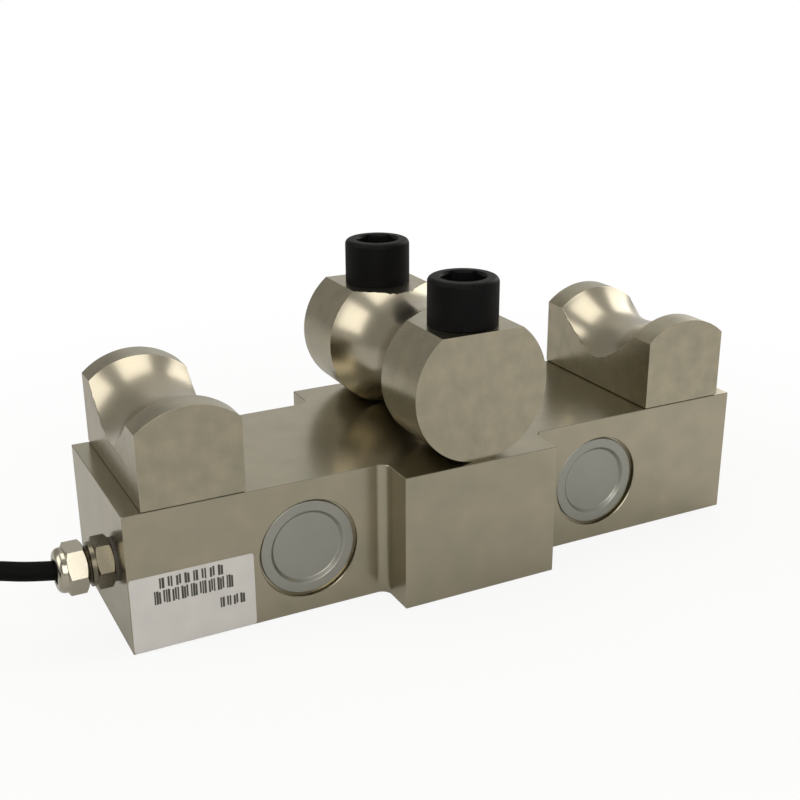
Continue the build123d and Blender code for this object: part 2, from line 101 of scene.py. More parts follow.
class NodeSheet:
    """Node tree of a material or a world, with short calls that add and join its nodes."""

    def __init__(self, owner: bpy.types.Material | bpy.types.World) -> None:
        """Empty the owner's node tree."""
        self.owner = owner
        self.owner.use_nodes = True
        self.tree = self.owner.node_tree
        self.tree.nodes.clear()
        self.column = 0

    def add(self, kind: str, values: dict | None = None, **settings: object) -> bpy.types.Node:
        """Add a node.

        Args:
            kind: Blender's name for the node's type.
            values: Input sockets by name, with the value each gets.
            **settings: Attributes of the node itself.

        Returns:
            The new node.
        """
        node = self.tree.nodes.new(kind)
        node.location = (self.column * 180, 0)
        self.column += 1
        for name, value in settings.items():
            setattr(node, name, value)
        for name, value in (values or {}).items():
            node.inputs[name].default_value = value
        return node

    def join(self, source: bpy.types.NodeSocket, target: bpy.types.NodeSocket) -> None:
        """Link an output socket to an input socket."""
        self.tree.links.new(source, target)

    def surface(self, shader: bpy.types.Node, kind: str = "Material") -> bpy.types.ID:
        """Join a shader to the output of that kind and give back the tree's owner."""
        output = self.add(f"ShaderNodeOutput{kind}")
        self.join(shader.outputs[0], output.inputs["Surface"])
        return self.owner

    def mix(
        self, factor: bpy.types.NodeSocket, first: bpy.types.Node, second: bpy.types.Node
    ) -> bpy.types.Node:
        """Mix two shaders by a socket's value."""
        node = self.add("ShaderNodeMixShader")
        self.join(factor, node.inputs[0])
        self.join(first.outputs[0], node.inputs[1])
        self.join(second.outputs[0], node.inputs[2])
        return node

    def math(
        self, operation: str, first: bpy.types.NodeSocket, second: bpy.types.NodeSocket
    ) -> bpy.types.NodeSocket:
        """Combine two values by an operation of the math node."""
        node = self.add("ShaderNodeMath", operation=operation)
        self.join(first, node.inputs[0])
        self.join(second, node.inputs[1])
        return node.outputs[0]

    def ranged(
        self, value: bpy.types.NodeSocket, start: float, end: float, low: float, high: float
    ) -> bpy.types.NodeSocket:
        """Map a value that goes from start to end to one that goes from low to high."""
        limits = {"From Min": start, "From Max": end, "To Min": low, "To Max": high}
        node = self.add("ShaderNodeMapRange", limits)
        self.join(value, node.inputs["Value"])
        return node.outputs[0]

    def noise(self, scale: Sequence[float], detail: float = 2.0) -> bpy.types.NodeSocket:
        """Add a noise texture on scaled object coordinates."""
        coordinates = self.add("ShaderNodeTexCoord")
        mapping = self.add("ShaderNodeMapping", {"Scale": scale})
        self.join(coordinates.outputs["Object"], mapping.inputs["Vector"])
        texture = self.add("ShaderNodeTexNoise", {"Scale": 1.0, "Detail": detail})
        self.join(mapping.outputs["Vector"], texture.inputs["Vector"])
        return texture.outputs[0]

    def spread(self, noise: bpy.types.NodeSocket, low: float, high: float) -> bpy.types.NodeSocket:
        """Map a noise, which mostly lies from 0.3 to 0.7, to a range."""
        return self.ranged(noise, NOISE_LOW, NOISE_HIGH, low, high)

    def blend(self, factor: bpy.types.NodeSocket, low: Colour, high: Colour) -> bpy.types.Node:
        """Mix two colours by a value."""
        node = self.add("ShaderNodeMix", data_type="RGBA")
        node.inputs[6].default_value = opaque(low)
        node.inputs[7].default_value = opaque(high)
        self.join(factor, node.inputs["Factor"])
        return node

    def bump(self, height: bpy.types.NodeSocket, depth: float) -> bpy.types.NodeSocket:
        """Turn a height into a bumped normal."""
        node = self.add("ShaderNodeBump", {"Distance": depth, "Strength": 1.0})
        self.join(height, node.inputs["Height"])
        return node.outputs["Normal"]


@dataclass(frozen=True)
class MetalFinish:
    """Bare or plated metal with tool marks and soft patches of tone."""

    name: str
    colour: Colour
    patch_colour: Colour
    roughness: float
    roughness_spread: float
    grain: Grain
    grain_pitch: float = 0.00025
    grain_depth: float = 0.000004
    patch_size: float = 0.018

    def build(self) -> bpy.types.Material:
        """Make the material.

        Returns:
            A metal whose colour, roughness and bump come from noise.
        """
        sheet = NodeSheet(bpy.data.materials.new(self.name))
        shader = sheet.add("ShaderNodeBsdfPrincipled", {"Metallic": 1.0})
        patches = sheet.noise([1.0 / self.patch_size] * 3, detail=3.0)
        tone = sheet.blend(sheet.spread(patches, 0.0, 1.0), self.colour, self.patch_colour)
        sheet.join(tone.outputs[2], shader.inputs["Base Color"])
        marks = sheet.noise(self.grain.stretch(self.grain_pitch), detail=3.0)
        low = self.roughness - self.roughness_spread
        high = self.roughness + self.roughness_spread
        sheet.join(sheet.spread(marks, low, high), shader.inputs["Roughness"])
        sheet.join(sheet.bump(marks, self.grain_depth), shader.inputs["Normal"])
        return sheet.surface(shader)


@dataclass(frozen=True)
class CoatedFinish:
    """Paint, oxide, rubber or plastic with a fine surface texture."""

    name: str
    colour: Colour
    worn_colour: Colour
    roughness: float
    texture_pitch: float = 0.0004
    texture_depth: float = 0.00001
    patch_size: float = 0.01
    specular: float = 0.5
    roughness_spread: float = 0.05

    def build(self) -> bpy.types.Material:
        """Make the material.

        Returns:
            A coated surface whose colour, roughness and bump come from noise.
        """
        sheet = NodeSheet(bpy.data.materials.new(self.name))
        shader = sheet.add("ShaderNodeBsdfPrincipled", {"Specular IOR Level": self.specular})
        patches = sheet.noise([1.0 / self.patch_size] * 3)
        tone = sheet.blend(sheet.spread(patches, 0.0, 1.0), self.colour, self.worn_colour)
        sheet.join(tone.outputs[2], shader.inputs["Base Color"])
        texture = sheet.noise([1.0 / self.texture_pitch] * 3, detail=3.0)
        low = self.roughness - self.roughness_spread
        high = self.roughness + self.roughness_spread
        sheet.join(sheet.spread(texture, low, high), shader.inputs["Roughness"])
        sheet.join(sheet.bump(texture, self.texture_depth), shader.inputs["Normal"])
        return sheet.surface(shader)


PLATED_BAR = MetalFinish(
    "plated_bar",
    (0.435, 0.392, 0.298),
    (0.375, 0.352, 0.268),
    0.24,
    0.03,
    Grain.ALONG_BAR,
    patch_size=0.011,
)
PLATED_CHEEK = MetalFinish(
    "plated_cheek",
    (0.442, 0.395, 0.294),
    (0.350, 0.330, 0.249),
    0.26,
    0.015,
    Grain.UPRIGHT,
    grain_depth=0.0000003,
    patch_size=0.0065,
)
TURNED_GROOVE = MetalFinish(
    "turned_groove",
    (0.46, 0.415, 0.32),
    (0.41, 0.38, 0.30),
    0.25,
    0.02,
    Grain.TURNED,
    grain_depth=0.0000008,
)
COVER_SHEET = MetalFinish(
    "cover_sheet", (0.38, 0.38, 0.342), (0.34, 0.35, 0.316), 0.4, 0.03, Grain.NONE
)
BRIGHT_NICKEL = MetalFinish(
    "bright_nickel", (0.53, 0.492, 0.412), (0.46, 0.43, 0.352), 0.19, 0.03, Grain.NONE
)
# Same nickel plating as the nut, painted darker: painted shade for the gland body, which sits in
# shade by the bar's end face.
SHADED_NICKEL = MetalFinish(
    "shaded_nickel", (0.20, 0.18, 0.132), (0.16, 0.143, 0.105), 0.28, 0.03, Grain.NONE
)
ZINC = MetalFinish("zinc", (0.5, 0.5, 0.5), (0.45, 0.45, 0.46), 0.3, 0.05, Grain.NONE)
GROUND_STEEL = MetalFinish(
    "ground_steel", (0.5, 0.5, 0.5), (0.46, 0.46, 0.46), 0.2, 0.03, Grain.UPRIGHT
)
BLACK_OXIDE = CoatedFinish(
    "black_oxide", (0.002, 0.002, 0.0022), (0.004, 0.004, 0.0042), 0.5, specular=0.1
)
SEAL_RUBBER = CoatedFinish("seal_rubber", (0.012, 0.010, 0.008), (0.02, 0.016, 0.012), 0.6)
FIBRE_WASHER = CoatedFinish("fibre_washer", (0.05, 0.045, 0.035), (0.07, 0.062, 0.048), 0.6)
CABLE_JACKET = CoatedFinish(
    "cable_jacket", (0.002, 0.002, 0.002), (0.004, 0.004, 0.004), 0.6, specular=0.06
)
LABEL_FOIL = CoatedFinish(
    "label_foil", (0.60, 0.585, 0.56), (0.55, 0.54, 0.52), 0.4, texture_depth=0.000002
)
LABEL_INK = CoatedFinish("label_ink", (0.045, 0.042, 0.035), (0.07, 0.065, 0.055), 0.5)
RED_CORE = CoatedFinish("red_core", (0.45, 0.03, 0.02), (0.36, 0.025, 0.02), 0.4)
BLACK_CORE = CoatedFinish("black_core", (0.006, 0.006, 0.006), (0.01, 0.01, 0.01), 0.4)
GREEN_CORE = CoatedFinish("green_core", (0.02, 0.22, 0.06), (0.018, 0.18, 0.05), 0.4)
WHITE_CORE = CoatedFinish("white_core", (0.62, 0.61, 0.58), (0.56, 0.55, 0.52), 0.4)
TINNED_WIRE = MetalFinish(
    "tinned_wire", (0.62, 0.62, 0.62), (0.5, 0.5, 0.5), 0.3, 0.05, Grain.NONE
)
AMBER_FOIL = CoatedFinish("amber_foil", (0.55, 0.25, 0.05), (0.6, 0.33, 0.1), 0.3)
BOARD_GREEN = CoatedFinish("board_green", (0.02, 0.12, 0.05), (0.03, 0.16, 0.07), 0.35)

NODE_FINISHES: dict[str, MetalFinish | CoatedFinish] = {
    "sensor_body": PLATED_BAR,
    "left_saddle": PLATED_CHEEK,
    "right_saddle": PLATED_CHEEK,
    "centre_clamp": PLATED_CHEEK,
    "front_clamp_screw": BLACK_OXIDE,
    "rear_clamp_screw": BLACK_OXIDE,
    "left_saddle_screw": ZINC,
    "right_saddle_screw": ZINC,
    "saddle_dowels": GROUND_STEEL,
    "front_left_cover": COVER_SHEET,
    "front_right_cover": COVER_SHEET,
    "rear_left_cover": COVER_SHEET,
    "rear_right_cover": COVER_SHEET,
    "front_left_gauge": AMBER_FOIL,
    "front_right_gauge": AMBER_FOIL,
    "rear_left_gauge": AMBER_FOIL,
    "rear_right_gauge": AMBER_FOIL,
    "solder_terminals": BOARD_GREEN,
    "bridge_board": BOARD_GREEN,
    "bridge_leads": RED_CORE,
    "gland_washer": FIBRE_WASHER,
    "gland_body": SHADED_NICKEL,
    "gland_seal": SEAL_RUBBER,
    "gland_nut": BRIGHT_NICKEL,
    "name_label": LABEL_FOIL,
    "cable_inner_end": CABLE_JACKET,
    "cable_inner_cores": RED_CORE,
    "cable_tube": CABLE_JACKET,
    "cable_coil": CABLE_JACKET,
    "cable_free_cores": RED_CORE,
}


class FinishShelf:
    """Makes each finish's material once and hands it out."""

    def __init__(self) -> None:
        """Start with no material made."""
        self.made: dict[str, bpy.types.Material] = {}

    def material(self, finish: MetalFinish | CoatedFinish) -> bpy.types.Material:
        """Give the material of a finish, made at its first use."""
        if finish.name not in self.made:
            self.made[finish.name] = finish.build()
        return self.made[finish.name]

    def dress(self, piece: Object, *finishes: MetalFinish | CoatedFinish) -> None:
        """Replace all of a piece's material slots by these finishes, in order."""
        piece.data.materials.clear()
        for finish in finishes:
            piece.data.materials.append(self.material(finish))


def select_only(*pieces: Object) -> None:
    """Select these pieces and nothing else, with the first of them active."""
    bpy.ops.object.select_all(action="DESELECT")
    for piece in pieces:
        piece.select_set(True)
    bpy.context.view_layer.objects.active = pieces[0]


@contextmanager
def editing(piece: Object) -> Iterator[None]:
    """Open a piece in edit mode with nothing selected, and close it again.

    Args:
        piece: The object to edit.

    Yields:
        Nothing.
    """
    select_only(piece)
    bpy.ops.object.mode_set(mode="EDIT")
    bpy.ops.mesh.select_mode(type="VERT")
    bpy.ops.mesh.select_all(action="DESELECT")
    yield
    bpy.ops.object.mode_set(mode="OBJECT")
    bpy.ops.object.select_all(action="DESELECT")


def select_points(piece: Object, wanted: Callable[[Vector], bool]) -> None:
    """Select, in edit mode, the points of a piece that pass a test."""
    mesh = bmesh.from_edit_mesh(piece.data)
    for point in mesh.verts:
        point.select_set(wanted(point.co))
    mesh.select_flush_mode()
    bmesh.update_edit_mesh(piece.data)


def new_piece(name: str) -> Object:
    """Take the primitive that was just added, name it and apply its place."""
    piece = bpy.context.object
    piece.name = name
    piece.data.name = name
    bpy.ops.object.transform_apply(location=True, rotation=True, scale=True)
    bpy.ops.object.select_all(action="DESELECT")
    return piece


def draw_outline(name: str, points: Sequence[Vector]) -> Object:
    """Draw an open outline by extruding one point along it.

    Args:
        name: Name of the new object.
        points: Places that the outline passes.

    Returns:
        An object of points and edges.
    """
    bpy.ops.object.select_all(action="DESELECT")
    bpy.ops.mesh.primitive_plane_add(size=SEED_SIZE, location=points[0])
    outline = new_piece(name)
    with editing(outline):
        bpy.ops.mesh.select_all(action="SELECT")
        bpy.ops.mesh.merge(type="CENTER")
        for before, after in zip(points, points[1:]):
            move = {"value": after - before}
            bpy.ops.mesh.extrude_vertices_move(TRANSFORM_OT_translate=move)
    return outline


def rounded_path(
    corners: Sequence[tuple[float, float]], radii: Sequence[float], steps: int = 4
) -> list[tuple[float, float]]:
    """Round the corners of a path in a plane.

    Args:
        corners: Ends and corners of the path.
        radii: One radius for each corner between the ends, where 0 keeps it sharp.
        steps: Chords in each arc.

    Returns:
        The path's points.
    """
    path = [corners[0]]
    for before, corner, after, radius in zip(corners, corners[1:], corners[2:], radii):
        if radius == 0:
            path.append(corner)
            continue
        middle = Vector(corner)
        start = (Vector(before) - middle).normalized()
        end = (Vector(after) - middle).normalized()
        half = acos(max(-1.0, min(1.0, start.dot(end)))) / 2
        centre = middle + (start + end).normalized() * radius / sin(half)
        first = middle + start * radius * cos(half) / sin(half) - centre
        last = middle + end * radius * cos(half) / sin(half) - centre
        sweep = atan2(first.x * last.y - first.y * last.x, first.dot(last))
        for index in range(steps + 1):
            turn = Matrix.Rotation(sweep * index / steps, 2)
            path.append(tuple(centre + turn @ first))
    path.append(corners[-1])
    return path


def spin_round(
    piece: Object, centre: Sequence[float], axis: Sequence[float], steps: int, angle: float = tau
) -> None:
    """Spin an outline about an axis and close what meets.

    Args:
        piece: The outline, which becomes the turned shape.
        centre: A point on the axis.
        axis: Direction of the axis.
        steps: Faces round the turn.
        angle: How far it spins, in radians.
    """
    with editing(piece):
        bpy.ops.mesh.select_all(action="SELECT")
        bpy.ops.mesh.spin(steps=steps, angle=angle, center=centre, axis=axis)
        bpy.ops.mesh.select_all(action="SELECT")
        bpy.ops.mesh.remove_doubles(threshold=MERGE_GAP)
        bpy.ops.mesh.normals_make_consistent(inside=False)


def mill_flat(piece: Object, point: Sequence[float], outward: Sequence[float]) -> None:
    """Cut away what lies beyond a plane, and close the cut."""
    with editing(piece):
        bpy.ops.mesh.select_all(action="SELECT")
        bpy.ops.mesh.bisect(plane_co=point, plane_no=outward, use_fill=True, clear_outer=True)


def apply_modifier(piece: Object, kind: str, **settings: object) -> None:
    """Add a modifier with its settings and apply it.

    Args:
        piece: The object that gets it.
        kind: Blender's name for the modifier's type.
        **settings: The modifier's attributes.
    """
    modifier = piece.modifiers.new(kind.lower(), kind)
    for name, value in settings.items():
        setattr(modifier, name, value)
    select_only(piece)
    bpy.ops.object.modifier_apply(modifier=modifier.name)
    piece.select_set(False)


def combine(piece: Object, tool: Object, operation: str) -> None:
    """Cut a piece by a tool, or keep what both share, and drop the tool."""
    apply_modifier(piece, "BOOLEAN", object=tool, operation=operation, solver="EXACT")
    bpy.data.objects.remove(tool)


def soften_edges(piece: Object, width: float, angle: float = 32.0) -> None:
    """Round every edge that is sharper than an angle."""
    apply_modifier(
        piece, "BEVEL", width=width, segments=2, limit_method="ANGLE", angle_limit=radians(angle)
    )


def finish_piece(piece: Object, slot: str, *nodes: str, smooth: float = 28.0) -> Object:
    """Smooth a piece's shading, mount it on the body and let it stand for its nodes.

    Args:
        piece: The finished piece.
        slot: The record's material slot; not used.
        *nodes: CAD nodes that it stands for.
        smooth: Edges blunter than this many degrees look smooth.

    Returns:
        The same piece.
    """
    select_only(piece)
    bpy.ops.object.shade_smooth_by_angle(angle=radians(smooth))
    apply_modifier(piece, "WEIGHTED_NORMAL", keep_sharp=True, weight=FACE_WEIGHT)
    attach(piece, BODY)
    if nodes:
        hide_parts(*nodes)
    log.info("built %s with %d faces", piece.name, len(piece.data.polygons))
    return piece


def node_centre(node: str) -> Vector:
    """Middle of a CAD node's box."""
    low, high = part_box(node)
    return (low + high) / 2


def repeat_for(
    model: Object, nodes: Sequence[str], word: str, turns: Sequence[float] | None = None
) -> list[Object]:
    """Copy a model to the places of alike CAD nodes, each copy with its own mesh.

    Args:
        model: The piece, modelled in the place of the first node.
        nodes: CAD nodes that the model and its copies are for.
        word: How the pieces' names end, after the node's name.
        turns: How far each is turned about the upright, in radians.

    Returns:
        The model and its copies, in the nodes' order.
    """
    pieces = [model]
    model.name = f"{nodes[0]}_{word}"
    home = Matrix.Translation(-node_centre(nodes[0]))
    for node, turn in zip(nodes[1:], (turns or [0.0] * len(nodes))[1:]):
        select_only(model)
        bpy.ops.object.duplicate(linked=False)
        place = Matrix.Translation(node_centre(node)) @ Matrix.Rotation(turn, 4, "Z") @ home
        bpy.context.object.matrix_world = place
        pieces.append(new_piece(f"{node}_{word}"))
    return pieces


def paint_faces(piece: Object, wanted: Callable[[Vector], bool], index: int) -> None:
    """Give the faces whose middle passes a test another of the piece's materials."""
    for face in piece.data.polygons:
        if wanted(face.center):
            face.material_index = index


@dataclass(frozen=True)
class RopeGroove:
    """A groove with a round profile, turned about an axis that lies across the bar."""

    outer_radius: float
    half_width: float
    root_radius: float = 0.0176
    rows: int = 40
    rim_margin: float = 0.0003
    surface_gap: float = 0.0002

    def profile_radius(self) -> float:
        """Radius of the groove's own profile."""
        depth = self.outer_radius - self.root_radius
        return (self.half_width**2 + depth**2) / (2 * depth)

    def radius_at(self, across: float) -> float:
        """Distance of the surface from the turning axis, at a place across the bar."""
        if abs(across) >= self.half_width:
            return self.outer_radius
        round_radius = self.profile_radius()
        return self.root_radius + round_radius - sqrt(round_radius**2 - across**2)

    def outline(self, centre: Vector, half_length: float) -> list[Vector]:
        """Half outline of the turned shape, from the axis out and back.

        Args:
            centre: Middle of the turning axis.
            half_length: Half the length of the turned shape.

        Returns:
            Points in the plane through the axis and the +X direction.
        """
        offsets = [-half_length, -half_length]
        radii = [0.0, self.outer_radius]
        half_turn = atan2(self.half_width, self.profile_radius() - self.depth())
        for index in range(self.rows + 1):
            angle = half_turn * (2 * index / self.rows - 1)
            offsets.append(self.profile_radius() * sin(angle))
            radii.append(self.root_radius + self.profile_radius() * (1 - cos(angle)))
        offsets += [half_length, half_length]
        radii += [self.outer_radius, 0.0]
        return [centre + Vector((r, y, 0)) for r, y in zip(radii, offsets)]

    def depth(self) -> float:
        """Depth of the groove."""
        return self.outer_radius - self.root_radius

    def holds(self, point: Vector, centre: Vector) -> bool:
        """Say whether a point lies on the groove's surface."""
        reach = hypot(point.x - centre.x, point.z - centre.z)
        across = point.y - centre.y
        inside = abs(across) < self.half_width - self.rim_margin
        return inside and abs(reach - self.radius_at(across)) < self.surface_gap


@dataclass
class EndSaddles:
    """Arched end blocks, each with a rope groove turned over its top."""

    nodes: tuple[str, ...] = ("left_saddle", "right_saddle")
    arch_radius: float = 0.0251
    land: float = 0.010
    edge: float = 0.0003
    base_edge: float = 0.0006
    blunt_angle: float = 12.0
    turn_steps: int = 120

    def build(self, shelf: FinishShelf) -> list[Object]:
        """Model one saddle in the space of its CAD node and copy it to the other end.

        Args:
            shelf: Where the materials come from.

        Returns:
            The saddles.
        """
        low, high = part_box(self.nodes[0])
        middle = (low.x + high.x) / 2
        centre = Vector((middle, 0, high.z - self.arch_radius))
        groove = RopeGroove(self.arch_radius, high.y - self.land)
        saddle = draw_outline("saddle", groove.outline(centre, high.y))
        spin_round(saddle, centre, (0, 1, 0), self.turn_steps, pi)
        with editing(saddle):
            select_points(saddle, lambda p: abs(p.z - centre.z) < MERGE_GAP)
            drop = {"value": (0, 0, low.z - centre.z)}
            bpy.ops.mesh.extrude_edges_move(TRANSFORM_OT_translate=drop)
            bpy.ops.mesh.edge_face_add()
            bpy.ops.mesh.select_all(action="SELECT")
            bpy.ops.mesh.normals_make_consistent(inside=False)
        mill_flat(saddle, (high.x, 0, 0), (1, 0, 0))
        mill_flat(saddle, (low.x, 0, 0), (-1, 0, 0))
        with editing(saddle):
            select_points(saddle, lambda p: abs(p.z - low.z) < MERGE_GAP)
            bpy.ops.mesh.bevel(offset=self.base_edge, segments=3, affect="EDGES")
        shelf.dress(saddle, PLATED_CHEEK, TURNED_GROOVE)
        paint_faces(saddle, lambda p: groove.holds(p, centre), 1)
        soften_edges(saddle, self.edge, self.blunt_angle)
        pieces = repeat_for(saddle, self.nodes, "turned")
        return [finish_piece(p, "saddle_steel", n) for p, n in zip(pieces, self.nodes)]


@dataclass
class CentreClamp:
    """Turned round across the bar, with a rope groove, a top flat and two screw holes."""

    node: str = "centre_clamp"
    radius: float = 0.025
    seat_depth: float = 0.0002
    land: float = 0.0246
    hole_diameter: float = 0.0175
    screw_spacing: float = 0.064
    edge: float = 0.0003
    turn_steps: int = 192

    def build(self, shelf: FinishShelf) -> Object:
        """Model the clamp in the space of its CAD node.

        Args:
            shelf: Where the materials come from.

        Returns:
            The clamp.
        """
        low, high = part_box(self.node)
        centre = Vector((0, 0, low.z + self.radius - self.seat_depth))
        groove = RopeGroove(self.radius, high.y - self.land)
        clamp = draw_outline("rope_clamp", groove.outline(centre, high.y))
        spin_round(clamp, centre, (0, 1, 0), self.turn_steps)
        mill_flat(clamp, (0, 0, high.z), (0, 0, 1))
        mill_flat(clamp, (0, 0, low.z), (0, 0, -1))
        shelf.dress(clamp, PLATED_CHEEK, TURNED_GROOVE)
        paint_faces(clamp, lambda p: groove.holds(p, centre), 1)
        for side in (-1, 1):
            bpy.ops.mesh.primitive_cylinder_add(
                vertices=64,
                radius=self.hole_diameter / 2,
                depth=4 * self.radius,
                location=(0, side * self.screw_spacing / 2, centre.z),
            )
            combine(clamp, new_piece("drill"), "DIFFERENCE")
        soften_edges(clamp, self.edge)
        return finish_piece(clamp, "clamp_steel", self.node)


@dataclass
class CapScrews:
    """Alike socket head cap screws with finely knurled heads."""

    nodes: tuple[str, ...]
    size: float
    head_diameter: float
    across_flats: float
    finish: MetalFinish | CoatedFinish
    slot: str
    from_below: bool = False
    knurls: int = 72
    knurl_depth: float = 0.00014
    rim: float = 0.0018
    foot_fillet: float = 0.0004
    tip_share: float = 0.08
    socket_share: float = 0.5
    mouth_bevel: float = 0.0008

    def outline(self, length: float) -> list[tuple[float, float]]:
        """Radius and height of the turned form, from the head's top down to the tip."""
        head = self.head_diameter / 2
        shank = self.size / 2
        tip = self.size * self.tip_share
        corners = [
            (0.0, self.size),
            (head, self.size),
            (head, 0.0),
            (shank, 0.0),
            (shank, tip - length),
            (shank - tip, -length),
            (0.0, -length),
        ]
        return rounded_path(corners, [self.rim, self.foot_fillet, 0.0, 0.0, 0.0], steps=6)

    def build(self, shelf: FinishShelf) -> list[Object]:
        """Model one screw in the space of its CAD node and copy it to the others.

        Args:
            shelf: Where the material comes from.

        Returns:
            The screws.
        """
        low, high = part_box(self.nodes[0])
        axis_x, axis_y = (low.x + high.x) / 2, (low.y + high.y) / 2
        length = high.z - low.z - self.size
        points = [Vector((r, 0, z)) for r, z in self.outline(length)]
        screw = draw_outline("cap_screw", points)
        spin_round(screw, (0, 0, 0), (0, 0, 1), 2 * self.knurls)
        self.knurl(screw)
        self.sink_socket(screw)
        seat = high.z - self.size
        if self.from_below:
            screw.rotation_euler = (pi, 0, 0)
            seat = low.z + self.size
        screw.location = (axis_x, axis_y, seat)
        select_only(screw)
        bpy.ops.object.transform_apply(location=True, rotation=True, scale=True)
        shelf.dress(screw, self.finish)
        pieces = repeat_for(screw, self.nodes, "knurled")
        return [finish_piece(p, self.slot, n) for p, n in zip(pieces, self.nodes)]

    def knurl(self, screw: Object) -> None:
        """Press every second upright line of the head inward."""
        head = self.head_diameter / 2
        step = pi / self.knurls

        def in_valley(point: Vector) -> bool:
            """Say whether a point is on every second line of the head's side."""
            on_side = hypot(point.x, point.y) > head - MERGE_GAP and point.z > 0
            return on_side and round(atan2(point.y, point.x) / step) % 2 == 0

        inward = 1 - self.knurl_depth / head
        with editing(screw):
            select_points(screw, in_valley)
            bpy.ops.transform.resize(value=(inward, inward, 1), center_override=(0, 0, 0))

    def sink_socket(self, screw: Object) -> None:
        """Cut the hexagon socket, its drilled bottom and its bevelled mouth."""
        corner = self.across_flats / sqrt(3)
        depth = self.size * self.socket_share
        bpy.ops.mesh.primitive_cylinder_add(
            vertices=6, radius=corner, depth=2 * depth, location=(0, 0, self.size)
        )
        combine(screw, new_piece("socket"), "DIFFERENCE")
        bpy.ops.mesh.primitive_cone_add(
            vertices=96,
            radius1=corner - self.mouth_bevel,
            radius2=corner + self.mouth_bevel,
            depth=2 * self.mouth_bevel,
            location=(0, 0, self.size),
        )
        combine(screw, new_piece("countersink"), "DIFFERENCE")


@dataclass
class PocketCovers:
    """Thin round covers with dished middles, pressed from sheet."""

    nodes: tuple[str, ...] = (
        "front_left_cover",
        "front_right_cover",
        "rear_left_cover",
        "rear_right_cover",
    )
    turns: tuple[float, ...] = (0.0, 0.0, pi, pi)
    sheet: float = 0.001
    dish_radius: float = 0.012
    dish_depth: float = 0.0013
    bend_run: float = 0.0011
    corner_radii: tuple[float, ...] = (0.0006, 0.0005, 0.0004, 0.0, 0.0004, 0.0005)
    turn_steps: int = 96

    def build(self, shelf: FinishShelf) -> list[Object]:
        """Model the first cover in the space of its CAD node and copy it to the others.

        Args:
            shelf: Where the material comes from.

        Returns:
            The covers.
        """
        low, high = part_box(self.nodes[0])
        centre = Vector(((low.x + high.x) / 2, low.y, (low.z + high.z) / 2))
        rim = (high.x - low.x) / 2
        bend = self.dish_radius + self.bend_run
        corners = [
            (0.0, -self.dish_depth),
            (self.dish_radius, -self.dish_depth),
            (bend, 0.0),
            (rim, 0.0),
            (rim, -self.sheet),
            (bend + self.sheet / 2, -self.sheet),
            (self.dish_radius + self.sheet / 2, -self.dish_depth - self.sheet),
            (0.0, -self.dish_depth - self.sheet),
        ]
        path = rounded_path(corners, self.corner_radii)
        points = [centre + Vector((r, -depth, 0)) for r, depth in path]
        cover = draw_outline("cover", points)
        spin_round(cover, centre, (0, 1, 0), self.turn_steps)
        shelf.dress(cover, COVER_SHEET)
        pieces = repeat_for(cover, self.nodes, "pressed", self.turns)
        return [finish_piece(p, "cover_steel", n) for p, n in zip(pieces, self.nodes)]


